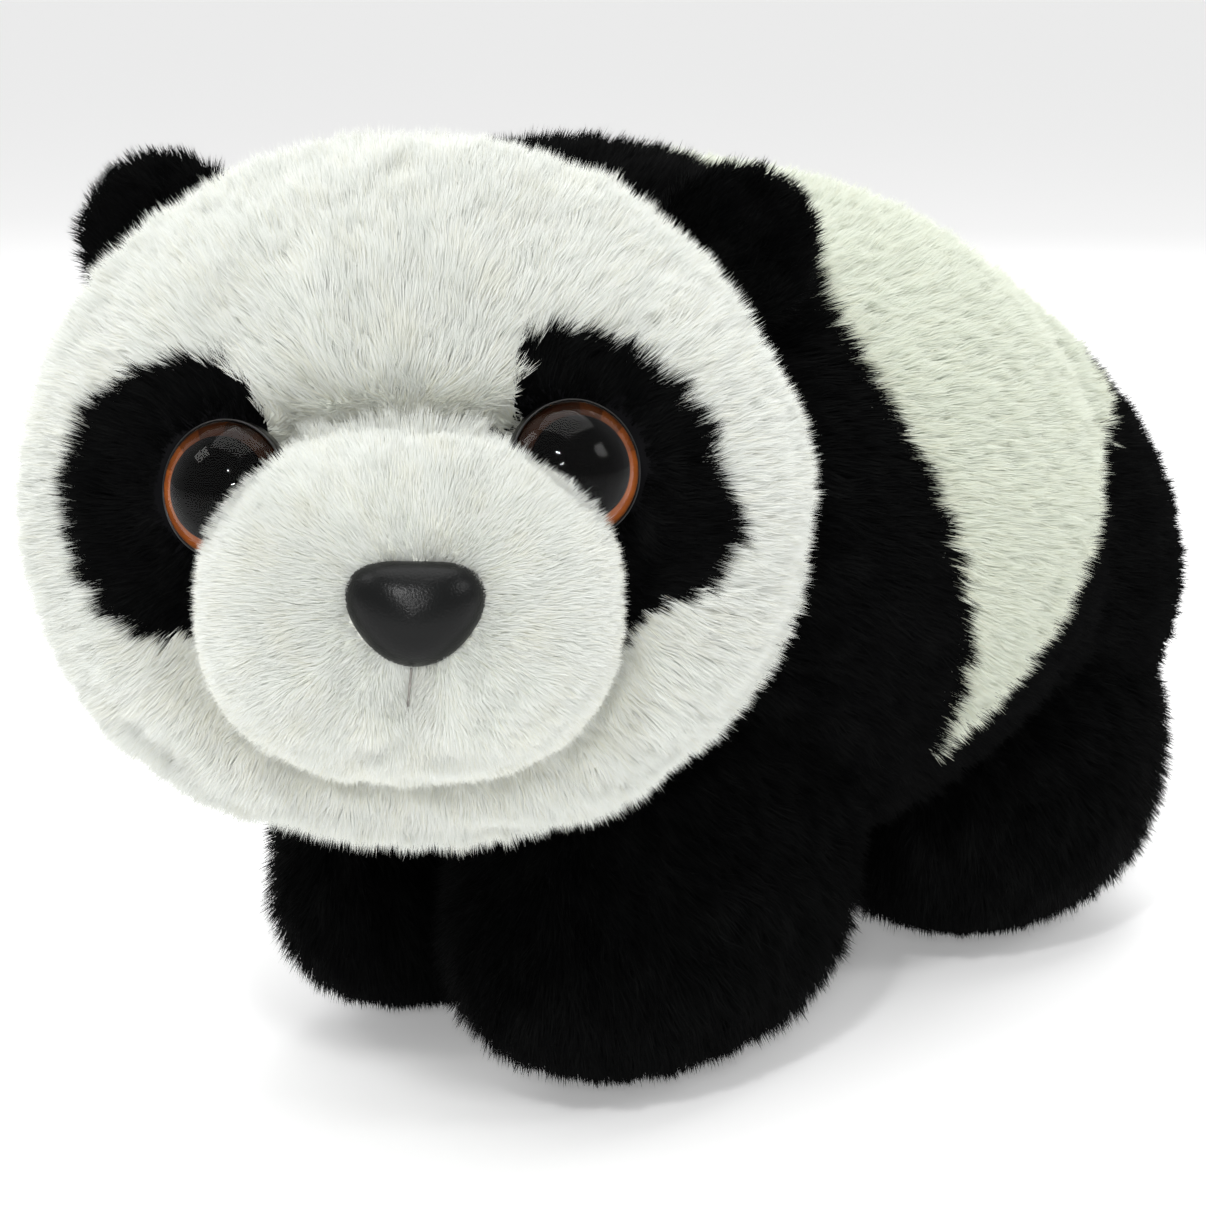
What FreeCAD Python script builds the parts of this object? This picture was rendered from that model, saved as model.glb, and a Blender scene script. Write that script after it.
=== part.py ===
import FreeCAD, Part
import os, math

# Plush panda, standing on four paws, head turned towards its left.
# Frame: the panda faces -Y, its left side is +X, +Z is up, the floor is z = 0.
# All sizes are in millimetres.

# ---- driving dimensions -------------------------------------------------
Y_SHIFT = 15.2            # puts the footprint box centre on x = y = 0
X_SHIFT = -4.6

SKIN = 3.0                # fabric backing plus dense pile
GAP = 0.3                 # sewn clearance between neighbouring pieces

HEAD_C = (22.0, -97.6, 114.2)
HEAD_R = (66.6, 63.5, 60.6)
HEAD_YAW, HEAD_PITCH, HEAD_ROLL = 37.9, -8.7, 0.7
HEAD_SEAM_Y = 13.0        # over-the-head seam, head frame

MUZZLE_C = (0.0, -47.0, -15.6)
MUZZLE_R = (33.0, 29.0, 27.6)
MUZZLE_SKIN = 2.6

PATCH_X, PATCH_Z = 37.5, -1.5
PATCH_A, PATCH_B, PATCH_TILT = 17.5, 26.0, 14.0

EYE_X, EYE_Z = 26.4, 4.3
EYE_R, EYE_DOME = 10.4, 6.8
EYE_WALL = 1.2
SHANK_R = 2.6

NOSE_Z = -14.6
NOSE_W, NOSE_H = 21.0, 15.6

EAR_DIR = {"left": (52.0, 14.5, 44.5), "right": (44.0, 28.0, 42.0)}
EAR_R, EAR_T = 15.6, 5.4
EAR_LIFT = 1.4
EAR_SWING = 20.0

TORSO_C = (0.0, 12.5, 94.1)
TORSO_R = (78.2, 106.9, 70.3)
TORSO_PITCH = -2.6
RUMP_C = (0.0, 80.6, 81.0)
RUMP_R = (71.3, 56.6, 56.0)

SOCKET_R = 71.8           # neck opening, concentric with the head
COLLAR_R = (67.9, 71.3)

HUMP, HUMP_Y = 7.0, -34.0   # rise of the shoulders behind the neck
LEG_SWING = 8.0
FRONT_REACH = 3.0          # forward swing of a front leg before it meets the chin
HEAD_SWEEP = 2.0           # room for the turning and nodding head
# side, hip point, hip ball, paw centre, paw semi-axes
LEGS = {
    "front_left": ((31.0, -36.0, 41.0), 22.5, (31.0, -41.0, 33.0), (29.6, 49.5, 33.6)),
    "front_right": ((-26.0, -30.0, 41.0), 20.5, (-25.6, -31.0, 33.0), (25.6, 46.0, 33.6)),
    "rear_left": ((35.0, 70.0, 45.0), 25.0, (36.0, 72.0, 36.0), (34.0, 47.0, 36.8)),
    "rear_right": ((-35.0, 70.0, 45.0), 25.0, (-36.0, 72.0, 36.0), (34.0, 47.0, 36.8)),
}

# side-view seam lines, (y, z)
SEAM_FRONT = [(4.0, 190.0), (3.0, 166.0), (-9.0, 154.0), (-16.0, 138.0), (-15.0, 118.0), (-11.5, 102.0), (-7.0, 89.0), (-3.0, 78.0), (0.0, 68.0), (3.0, 57.0)]
SEAM_REAR = [(3.0, 57.0), (17.0, 70.0), (29.0, 80.0), (41.0, 90.0), (53.0, 102.0), (74.0, 113.0), (85.0, 128.0), (92.0, 156.0), (94.0, 190.0)]
SEAM_LOW = [(3.0, 57.0), (2.0, 36.0), (0.0, -20.0)]

V = FreeCAD.Vector
os.makedirs("parts", exist_ok=True)
shift = V(X_SHIFT, Y_SHIFT, 0)


def turn(axis, deg):
    return FreeCAD.Rotation(V(*axis), deg)


HEAD_ROT = turn((0, 0, 1), HEAD_YAW).multiply(turn((1, 0, 0), HEAD_PITCH)).multiply(turn((0, 1, 0), HEAD_ROLL))
HEAD_PL = FreeCAD.Placement(V(*HEAD_C), HEAD_ROT)


def placed(shape, pl):
    s = shape.copy()
    s.transformShape(pl.toMatrix(), False)
    return s


def ellipsoid(c, r, rot=None):
    # two halves, so that no face closes on itself
    m = FreeCAD.Matrix()
    m.scale(r[0], r[1], r[2])
    a = Part.makeSphere(1.0, V(0, 0, 0), V(0, 0, 1), -90, 90, 180)
    b = a.copy()
    b.rotate(V(0, 0, 0), V(0, 0, 1), 180)
    s = a.transformGeometry(m).fuse(b.transformGeometry(m))
    s = s.Solids[0]
    return placed(s, FreeCAD.Placement(V(*c), rot or FreeCAD.Rotation()))


def inset(r, d):
    return tuple(x - d for x in r)


def ball(c, r):
    return Part.makeSphere(r, V(*c))


def cut(a, *tools):
    for t in tools:
        a = a.cut(t)
    return a


def big(s):
    # the largest solid of a shape, so that no crumbs are kept
    return max(s.Solids, key=lambda q: q.Volume)


def keep(s, least=40.0):
    # every solid of useful size
    good = [q for q in s.Solids if q.Volume > least]
    if len(good) != 1:
        print("PIECES", [round(q.Volume, 2) for q in s.Solids])
    return good[0] if len(good) == 1 else Part.makeCompound(good)


def prism_yz(pts, x0=-130.0, x1=130.0):
    w = Part.makePolygon([V(x0, y, z) for y, z in pts] + [V(x0, pts[0][0], pts[0][1])])
    return Part.Face(w).extrude(V(x1 - x0, 0, 0))


OUT = {}


def give(name, shape):
    s = shape.copy()
    s.translate(shift)
    OUT[name] = s


# ---- head, built in its own frame, then placed ---------------------------
def hd(shape):
    return placed(shape, HEAD_PL)


head_out = ellipsoid((0, 0, 0), HEAD_R)
head_in = ellipsoid((0, 0, 0), inset(HEAD_R, SKIN))
head_fill = ellipsoid((0, 0, 0), inset(HEAD_R, SKIN + GAP))
head_clear = ellipsoid((0, 0, 0), inset(HEAD_R, -GAP))
shell = head_out.cut(head_in)

half = Part.makeBox(200, 200, 200)
front_half = half.copy(); front_half.translate(V(-100, HEAD_SEAM_Y - GAP / 2 - 200, -100))
back_half = half.copy(); back_half.translate(V(-100, HEAD_SEAM_Y + GAP / 2, -100))
face = shell.common(front_half)
back = shell.common(back_half)


def patch_prism(side, grow):
    c = Part.Ellipse(V(0, 0, 0), PATCH_B + grow, PATCH_A + grow)
    f = Part.Face(Part.Wire([c.toShape()]))
    s = f.extrude(V(0, 0, 90))
    # ellipse long axis along z of the head, pushed out through -Y
    s.rotate(V(0, 0, 0), V(0, 0, 1), 90 )
    s.rotate(V(0, 0, 0), V(1, 0, 0), 90)
    s.rotate(V(0, 0, 0), V(0, 1, 0), -side * PATCH_TILT)
    s.translate(V(side * PATCH_X, 0, PATCH_Z))
    return s


def eye_frame(side):
    a = HEAD_R
    x, z = side * EYE_X, EYE_Z
    y = -a[1] * math.sqrt(1 - (x / a[0]) ** 2 - (z / a[2]) ** 2)
    n = V(x / a[0] ** 2, y / a[1] ** 2, z / a[2] ** 2)
    n.normalize()
    p = V(x, y, z) - n * 1.2
    return FreeCAD.Placement(p, FreeCAD.Rotation(V(0, 0, 1), n))


def dome(r, h):
    # flat-backed spherical cap of base radius r and height h
    big_r = (r * r + h * h) / (2.0 * h)
    b = Part.makeBox(6 * r, 6 * r, 6 * r)
    b.translate(V(-3 * r, -3 * r, 0))
    return Part.makeSphere(big_r, V(0, 0, h - big_r)).common(b)


muz_out = ellipsoid(MUZZLE_C, MUZZLE_R)
muz_clear = ellipsoid(MUZZLE_C, inset(MUZZLE_R, -GAP))
muz_in = ellipsoid(MUZZLE_C, inset(MUZZLE_R, MUZZLE_SKIN))
muz_fill = ellipsoid(MUZZLE_C, inset(MUZZLE_R, MUZZLE_SKIN + GAP))

patches = {}
for side, word in ((1, "left"), (-1, "right")):
    patches[word] = shell.common(patch_prism(side, 0)).common(front_half)
    face = face.cut(patch_prism(side, GAP))

fill = head_fill
for side, word in ((1, "left"), (-1, "right")):
    pl = eye_frame(side)
    lens = dome(EYE_R, EYE_DOME).cut(dome(EYE_R - EYE_WALL, EYE_DOME - EYE_WALL))
    iris = Part.makeCylinder(EYE_R - EYE_WALL - 1.0, 0.9, V(0, 0, 0.1))
    pupil = dome(7.0, 2.4); pupil.translate(V(0, 0, 1.2))
    shank = Part.makeCylinder(SHANK_R, 15.0, V(0, 0, -15.2))
    washer = Part.makeCylinder(8.0, 1.4, V(0, 0, -6.4)).cut(Part.makeCylinder(SHANK_R + 0.25, 3, V(0, 0, -7)))
    well = Part.makeCylinder(EYE_R + 0.3, 20, V(0, 0, -0.3))
    hole = Part.makeCylinder(SHANK_R + 0.3, 40, V(0, 0, -20))
    pocket = Part.makeCylinder(8.4, 3.0, V(0, 0, -7.0))
    pupil_room = None
    for nm, s in (("lens", lens), ("iris", iris), ("pupil", pupil), ("shank", shank), ("washer", washer)):
        give("eye_%s_%s" % (word, nm), hd(placed(s, pl)))
    patches[word] = cut(patches[word], placed(well, pl), placed(hole, pl))
    face = cut(face, placed(well, pl))
    fill = cut(fill, placed(hole, pl), placed(pocket, pl))

# muzzle dome sewn over the face
muz_cover = muz_out.cut(muz_in).cut(head_clear)
muz_stuff = muz_fill.cut(head_clear)
for side in (1, -1):
    pl = eye_frame(side)
    clear_eye = placed(dome(EYE_R + 0.4, EYE_DOME + 0.4), pl)
    muz_cover = muz_cover.cut(clear_eye)
    muz_stuff = muz_stuff.cut(clear_eye)

# nose: domed rounded triangle on a post
nose_y = MUZZLE_C[1] - MUZZLE_R[1]
pts = [(-0.50, 0.30), (-0.42, 0.46), (-0.20, 0.50), (0.0, 0.50), (0.20, 0.50), (0.42, 0.46), (0.50, 0.30),
       (0.49, 0.10), (0.38, -0.20), (0.20, -0.43), (0.0, -0.50), (-0.20, -0.43), (-0.38, -0.20), (-0.49, 0.10)]
bs = Part.BSplineCurve()
bs.interpolate([V(x * NOSE_W, 0, z * NOSE_H) for x, z in pts], PeriodicFlag=True)
nose_face = Part.Face(Part.Wire([bs.toShape()]))
nose_slab = nose_face.extrude(V(0, -12, 0))
nose_slab.translate(V(0, nose_y + 3.0, NOSE_Z))
nose = nose_slab.common(ellipsoid((0, nose_y + 1.2, NOSE_Z), (12.4, 6.6, 9.6)))
nose_well = nose_face.copy()
nose_well.scale(1.03)
nose_well = nose_well.extrude(V(0, -14, 0))
nose_well.translate(V(0, nose_y + 3.3, NOSE_Z))
muz_cover = muz_cover.cut(nose_well)
muz_stuff = muz_stuff.cut(nose_well)
give("nose_cap", hd(big(nose)))
n_shank = Part.makeCylinder(2.4, 9.5, V(0, nose_y + 3.2, NOSE_Z), V(0, 1, 0))
n_wash = Part.makeCylinder(7.0, 1.4, V(0, nose_y + 7.0, NOSE_Z), V(0, 1, 0)).cut(
    Part.makeCylinder(2.7, 4.0, V(0, nose_y + 6.0, NOSE_Z), V(0, 1, 0)))
n_hole = Part.makeCylinder(2.8, 14.0, V(0, nose_y + 2.0, NOSE_Z), V(0, 1, 0))
n_pock = Part.makeCylinder(7.4, 2.2, V(0, nose_y + 6.6, NOSE_Z), V(0, 1, 0))
muz_cover = cut(muz_cover, n_hole)
muz_stuff = cut(muz_stuff, n_hole, n_pock)
give("nose_shank", hd(n_shank))
give("nose_washer", hd(n_wash))
give("muzzle_cover", hd(big(muz_cover)))
give("muzzle_fill", hd(big(muz_stuff)))

# short mouth stitch below the nose
def muz_y(z, off):
    k = (z - MUZZLE_C[2]) / (MUZZLE_R[2] + off)
    return MUZZLE_C[1] - (MUZZLE_R[1] + off) * math.sqrt(1 - k * k)


zs = (-24.6, -29.0, -33.4)
p = [V(0, muz_y(z, 0.85), z) for z in zs]
arc = Part.Arc(p[0], p[1], p[2]).toShape()
tan = arc.tangentAt(arc.FirstParameter)
ring = Part.Wire([Part.Circle(p[0], tan, 0.5).toShape()])
stitch = Part.Wire([arc]).makePipeShell([ring], True, True)
give("mouth_stitch", hd(stitch))

# the face panel, the patches and the filling
give("head_front_panel", hd(keep(face)))
give("head_back_panel", hd(big(back)))
for word in ("left", "right"):
    give("eye_patch_" + word, hd(keep(patches[word], 20.0)))
give("head_fill", hd(big(fill)))

# ears: two flat fabric pieces each, leaning on a sewn base line
for side, word in ((1, "left"), (-1, "right")):
    d = V(side * EAR_DIR[word][0], EAR_DIR[word][1], EAR_DIR[word][2]); d.normalize()
    k = 1 / math.sqrt((d.x / HEAD_R[0]) ** 2 + (d.y / HEAD_R[1]) ** 2 + (d.z / HEAD_R[2]) ** 2)
    n = V(d.x / HEAD_R[0] ** 2, d.y / HEAD_R[1] ** 2, d.z / HEAD_R[2] ** 2); n.normalize()
    base = d * k + n * EAR_LIFT
    t = V(-n.z, 0, n.x) if side > 0 else V(n.z, 0, -n.x)
    t.normalize()
    f = n.cross(t)
    rot = FreeCAD.Rotation(t, f, n, "ZXY")
    pl = FreeCAD.Placement(base, rot)
    e = ellipsoid((0, 0, 6.0), (EAR_R, EAR_T, EAR_R))
    a = math.radians(90 - EAR_SWING - 1.5)
    w = 60.0
    poly = [V(-40, 0, 0.6), V(-40, w * math.sin(a), 0.6 + w * math.cos(a)), V(-40, w, 80), V(-40, -w, 80),
            V(-40, -w * math.sin(a), 0.6 + w * math.cos(a)), V(-40, 0, 0.6)]
    wedge = Part.Face(Part.makePolygon(poly)).extrude(V(80, 0, 0))
    e = e.common(wedge)
    fr = Part.makeBox(100, 50, 100); fr.translate(V(-50, GAP / 2, -20))
    bk = Part.makeBox(100, 50, 100); bk.translate(V(-50, -50 - GAP / 2, -20))
    one, two = big(placed(e.common(fr), pl)), big(placed(e.common(bk), pl))
    if one.CenterOfMass.y > two.CenterOfMass.y:
        one, two = two, one
    give("ear_%s_front" % word, hd(big(one)))
    give("ear_%s_back" % word, hd(big(two)))
    q = HEAD_ROT.multVec(base) + V(*HEAD_C) + shift
    tt = HEAD_ROT.multVec(t)
    print("EAR", word, [round(v, 3) for v in q], [round(v, 5) for v in tt])

# ---- torso, rump and their seams -----------------------------------------
TORSO_ROT = turn((1, 0, 0), TORSO_PITCH)


def section(y):
    # width, middle height and half height of the trunk at y
    def part(c, r, tilt):
        k = 1 - ((y - c[1]) / r[1]) ** 2
        k = math.sqrt(k) if k > 0 else 0.0
        z = c[2] + (y - c[1]) * math.tan(math.radians(tilt))
        return r[0] * k, z + r[2] * k, z - r[2] * k, k
    a, b = part(TORSO_C, TORSO_R, TORSO_PITCH), part(RUMP_C, RUMP_R, 0)
    if b[3] == 0:
        b = a
    if a[3] == 0:
        a = b
    w, top, low = max(a[0], b[0]), max(a[1], b[1]), min(a[2], b[2])
    top += HUMP * math.exp(-((y - HUMP_Y) / 26.0) ** 2)
    return w, (top + low) / 2, (top - low) / 2


STATIONS = [-93.2, -91.0, -86.0, -76.0, -63.0, -50.0, -37.0, -23.0, -8.0, 12.0, 36.0, 54.0, 72.0, 90.0, 105.0, 117.0, 126.0, 132.0, 135.2, 136.6]


def trunk(d):
    y0, y1 = STATIONS[0], STATIONS[-1]
    wires = []
    for y in STATIONS:
        w, z, h = section(y)
        q = min(d, 0.9 * w, 0.9 * h)
        yy = y0 + d + (y - y0) * (y1 - y0 - 2 * d) / (y1 - y0)
        n = 28
        bs = Part.BSplineCurve()
        bs.interpolate([V((w - q) * math.cos(2 * math.pi * i / n), yy, z + (h - q) * math.sin(2 * math.pi * i / n)) for i in range(n)], PeriodicFlag=True)
        wires.append(Part.Wire([bs.toShape()]))
    return Part.makeLoft(wires, True, False)


socket = ball(HEAD_C, SOCKET_R)
sockets = [socket] + [ball(h, r + 0.4) for h, r, c, e in LEGS.values()]

trunk_out = trunk(0)
skin = trunk_out.cut(trunk(SKIN))
skin = cut(skin, *sockets)
stuff = cut(trunk(SKIN + GAP), *sockets)
g = GAP / 2
front_poly = [(-200, -40), (-200, 190)] + [(y - g, z) for y, z in SEAM_FRONT] + [(y - g, z) for y, z in SEAM_LOW[1:]] + [(-g, -40)]
rear_poly = [(220, -40), (220, 190)] + [(y + g, z - g) for y, z in reversed(SEAM_REAR)] + [(y + g, z) for y, z in SEAM_LOW[1:]] + [(g, -40)]
mid_poly = [(SEAM_FRONT[0][0] + g, 190)] + [(y + g, z + g) for y, z in SEAM_FRONT[1:-1]] + [(3.0, 57.0 + 2.5 * g)] + \
    [(y - g, z + g) for y, z in SEAM_REAR[1:-1]] + [(SEAM_REAR[-1][0] - g, 190)]
give("shoulder_panel", keep(skin.common(prism_yz(front_poly)), 60))
give("saddle_panel", keep(skin.common(prism_yz(mid_poly)), 60))
give("rump_panel", keep(skin.common(prism_yz(rear_poly)), 60))
give("torso_fill", big(stuff))

# neck collar: the ring of cloth the head turns on
collar = ball(HEAD_C, COLLAR_R[1]).cut(ball(HEAD_C, COLLAR_R[0]))
collar = collar.common(trunk(3.5))
low_cut = Part.makeBox(400, 400, 72)
low_cut.translate(V(-200, -200, 0))
collar = collar.cut(low_cut)
give("neck_collar", big(collar))

# ---- legs ------------------------------------------------------------------
floor = Part.makeBox(400, 400, 60); floor.translate(V(-200, -200, -60))


def swept(shape, hip, deg):
    out = []
    for a in (-deg, 0.0, deg):
        s = shape.copy()
        s.rotate(V(*hip), V(1, 0, 0), a)
        out.append(s)
    return out


for word, (hip, r, c, e) in LEGS.items():
    blockers = swept(trunk(-0.6), hip, LEG_SWING + 0.7)
    if word.startswith("front"):
        chin = ellipsoid(HEAD_C, inset(HEAD_R, -HEAD_SWEEP), HEAD_ROT)
        for a in (0.0, (FRONT_REACH + 0.7) / 2, FRONT_REACH + 0.7):
            s = chin.copy()
            s.rotate(V(*hip), V(1, 0, 0), a)
            blockers.append(s)

    def leg(d):
        foot = ellipsoid(c, inset(e, d))
        lower = foot
        for b in blockers:
            lower = lower.cut(b)
        lower = big(lower)
        joint = ball(hip, r - d)
        for b in blockers[3:]:
            joint = joint.cut(b)
        body = lower.fuse(joint)
        f = floor.copy(); f.translate(V(0, 0, d if d > 0 else 0))
        return big(body.cut(f))
    outer = leg(0.0)
    inner = leg(SKIN)
    core = leg(SKIN + GAP)
    give("leg_%s_cover" % word, keep(outer.cut(inner), 60))
    give("leg_%s_fill" % word, core)

total = None
for name, s in OUT.items():
    b = s.BoundBox
    print("%-24s vol %10.1f solids %d valid %s  x %.1f..%.1f y %.1f..%.1f z %.1f..%.1f" % (
        name, s.Volume, len(s.Solids), s.isValid(), b.XMin, b.XMax, b.YMin, b.YMax, b.ZMin, b.ZMax))
    s.exportStep("parts/%s.step" % name)
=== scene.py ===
import math

import bpy
import numpy as np
from mathutils import Matrix, Vector


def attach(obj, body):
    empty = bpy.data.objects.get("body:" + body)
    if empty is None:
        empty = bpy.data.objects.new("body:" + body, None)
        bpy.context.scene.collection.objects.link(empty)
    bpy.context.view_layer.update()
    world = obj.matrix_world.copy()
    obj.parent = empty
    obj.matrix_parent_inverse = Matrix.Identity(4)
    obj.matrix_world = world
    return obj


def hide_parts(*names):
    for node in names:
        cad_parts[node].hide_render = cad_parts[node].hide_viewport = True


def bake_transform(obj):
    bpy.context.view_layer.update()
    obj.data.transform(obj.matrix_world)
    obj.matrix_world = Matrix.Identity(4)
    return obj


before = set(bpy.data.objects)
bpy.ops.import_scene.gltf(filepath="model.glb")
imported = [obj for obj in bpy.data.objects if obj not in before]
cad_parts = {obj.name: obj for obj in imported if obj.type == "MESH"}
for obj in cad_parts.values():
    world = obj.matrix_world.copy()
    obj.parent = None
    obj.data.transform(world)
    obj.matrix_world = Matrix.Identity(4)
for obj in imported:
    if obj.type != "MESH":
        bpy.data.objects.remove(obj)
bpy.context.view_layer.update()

MM = 0.001
SHIFT = np.array([-4.6, 15.2, 0.0])
rng = np.random.default_rng(11)


# ------------------------------------------------------------------ helpers
def rz(a):
    a = math.radians(a); c, s = math.cos(a), math.sin(a)
    return np.array([[c, -s, 0], [s, c, 0], [0, 0, 1.0]])


def rx(a):
    a = math.radians(a); c, s = math.cos(a), math.sin(a)
    return np.array([[1.0, 0, 0], [0, c, -s], [0, s, c]])


def ry(a):
    a = math.radians(a); c, s = math.cos(a), math.sin(a)
    return np.array([[c, 0, s], [0, 1.0, 0], [-s, 0, c]])


def unit(v):
    n = np.linalg.norm(v, axis=-1, keepdims=True)
    return v / np.maximum(n, 1e-9)


def smooth(x):
    x = np.clip(x, 0, 1)
    return x * x * (3 - 2 * x)


class Noise:
    """Smooth band-limited noise: a sum of seeded waves, same result every run."""

    def __init__(self, seed, scale, n=10, out=1):
        r = np.random.default_rng(seed)
        self.k = unit(r.normal(size=(out, n, 3))) * (2 * math.pi / scale) * r.uniform(0.6, 1.6, size=(out, n, 1))
        self.p = r.uniform(0, 2 * math.pi, size=(out, n))
        self.a = math.sqrt(2.0 / n)

    def __call__(self, pts):
        res = [np.sin(pts @ self.k[i].T + self.p[i]).sum(1) * self.a for i in range(len(self.k))]
        return res[0] if len(res) == 1 else np.stack(res, 1)


def cube_sphere(n):
    """Unit directions and quads of a cube grown to a sphere, n cells along each side."""
    key, pts, quads = {}, [], []
    t = np.tan(np.linspace(-math.pi / 4, math.pi / 4, n + 1))
    for ax in range(3):
        for sg in (-1, 1):
            idx = np.zeros((n + 1, n + 1), int)
            for i in range(n + 1):
                for j in range(n + 1):
                    p = [0, 0, 0]
                    p[ax] = sg; p[(ax + 1) % 3] = t[i]; p[(ax + 2) % 3] = t[j]
                    q = tuple(round(c, 6) for c in p)
                    if q not in key:
                        key[q] = len(pts); pts.append(p)
                    idx[i, j] = key[q]
            for i in range(n):
                for j in range(n):
                    a, b, c, d = idx[i, j], idx[i + 1, j], idx[i + 1, j + 1], idx[i, j + 1]
                    quads.append((a, b, c, d) if sg > 0 else (d, c, b, a))
    return unit(np.array(pts, float)), np.array(quads)


def vertex_normals(P, Q):
    n = np.cross(P[Q[:, 2]] - P[Q[:, 0]], P[Q[:, 3]] - P[Q[:, 1]])
    out = np.zeros_like(P)
    for k in range(4):
        np.add.at(out, Q[:, k], n)
    return unit(out)


def new_mesh(name, P, faces, mats=(), mat_index=None, smooth_shade=True):
    """P in row millimetres (shift included). faces: (n,3) or (n,4) ints."""
    me = bpy.data.meshes.new(name)
    k = faces.shape[1]
    me.vertices.add(len(P))
    me.vertices.foreach_set("co", (P * MM).astype(np.float32).ravel())
    me.loops.add(len(faces) * k)
    me.loops.foreach_set("vertex_index", faces.astype(np.int32).ravel())
    me.polygons.add(len(faces))
    me.polygons.foreach_set("loop_start", np.arange(0, len(faces) * k, k, dtype=np.int32))
    me.polygons.foreach_set("loop_total", np.full(len(faces), k, dtype=np.int32))
    for m in mats:
        me.materials.append(m)
    if mat_index is not None:
        me.polygons.foreach_set("material_index", mat_index.astype(np.int32))
    me.polygons.foreach_set("use_smooth", np.full(len(faces), smooth_shade))
    me.update(calc_edges=True)
    o = bpy.data.objects.new(name, me)
    bpy.context.scene.collection.objects.link(o)
    return o


def compact(P, F):
    used = np.unique(F)
    m = np.full(len(P), -1)
    m[used] = np.arange(len(used))
    return P[used], m[F]


def in_poly(x, y, poly):
    ins = np.zeros(len(x), bool)
    n = len(poly)
    for i in range(n):
        x0, y0 = poly[i]; x1, y1 = poly[(i + 1) % n]
        c = (y0 > y) != (y1 > y)
        t = (y - y0) / ((y1 - y0) if y1 != y0 else 1e-9)
        ins ^= c & (x < x0 + t * (x1 - x0))
    return ins


# ---------------------------------------------------------------- materials
def plain(name, color, rough=0.6, spec=0.3, sheen=0.0, coat=0.0):
    m = bpy.data.materials.new(name)
    m.use_nodes = True
    b = m.node_tree.nodes["Principled BSDF"]
    b.inputs["Base Color"].default_value = (*color, 1)
    b.inputs["Roughness"].default_value = rough
    b.inputs["Specular IOR Level"].default_value = spec
    b.inputs["Sheen Weight"].default_value = sheen
    b.inputs["Coat Weight"].default_value = coat
    return m


def mottled(name, c0, c1, scale, rough=0.8, bump=0.3, bump_scale=900.0, spec=0.2, dist=0.0004, detail=6.0):
    m = bpy.data.materials.new(name)
    m.use_nodes = True
    nt = m.node_tree; N = nt.nodes; L = nt.links
    b = N["Principled BSDF"]
    b.inputs["Roughness"].default_value = rough
    b.inputs["Specular IOR Level"].default_value = spec
    tc = N.new("ShaderNodeTexCoord")
    nz = N.new("ShaderNodeTexNoise")
    nz.inputs["Scale"].default_value = scale
    nz.inputs["Detail"].default_value = detail
    L.new(tc.outputs["Object"], nz.inputs["Vector"])
    cr = N.new("ShaderNodeValToRGB")
    cr.color_ramp.elements[0].position = 0.35
    cr.color_ramp.elements[1].position = 0.65
    cr.color_ramp.elements[0].color = (*c0, 1)
    cr.color_ramp.elements[1].color = (*c1, 1)
    L.new(nz.outputs["Fac"], cr.inputs["Fac"])
    L.new(cr.outputs["Color"], b.inputs["Base Color"])
    n2 = N.new("ShaderNodeTexNoise")
    n2.inputs["Scale"].default_value = bump_scale
    n2.inputs["Detail"].default_value = 4.0
    L.new(tc.outputs["Object"], n2.inputs["Vector"])
    bp = N.new("ShaderNodeBump")
    bp.inputs["Strength"].default_value = bump
    bp.inputs["Distance"].default_value = dist
    L.new(n2.outputs["Fac"], bp.inputs["Height"])
    L.new(bp.outputs["Normal"], b.inputs["Normal"])
    return m


SKIN_WHITE = mottled("skin_white", (0.68, 0.70, 0.63), (0.74, 0.76, 0.69), 60.0)
SKIN_BLACK = mottled("skin_black", (0.0015, 0.0015, 0.002), (0.004, 0.004, 0.0045), 60.0, spec=0.05)

WHITE = [plain("fur_white_%d" % i, c, 0.8, 0.12) for i, c in enumerate([
    (0.730, 0.750, 0.712), (0.750, 0.765, 0.732), (0.710, 0.730, 0.690), (0.725, 0.735, 0.672), (0.700, 0.700, 0.610)])]
CREAM = [plain("fur_cream_%d" % i, c, 0.8, 0.12) for i, c in enumerate([
    (0.685, 0.722, 0.628), (0.705, 0.738, 0.652), (0.665, 0.703, 0.610), (0.688, 0.718, 0.614), (0.668, 0.682, 0.562)])]
BLACK = [plain("fur_black_%d" % i, c, 0.65, 0.035) for i, c in enumerate([
    (0.0014, 0.0015, 0.0016), (0.0022, 0.0024, 0.0024), (0.0038, 0.0041, 0.0040), (0.0010, 0.0011, 0.0012), (0.0075, 0.0080, 0.0080)])]


# -------------------------------------------------------------------- forms
HC = np.array([22.0, -97.6, 114.2])
HR = rz(37.9) @ rx(-8.7) @ ry(0.7)
HEAD_R = np.array([66.6, 63.5, 60.6])
MUZ_C = np.array([0.4, -47.0, -15.2])
MUZ_R = np.array([32.4, 29.6, 27.4])
INSET = 3.6               # the pile stands this far off the cloth

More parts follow.
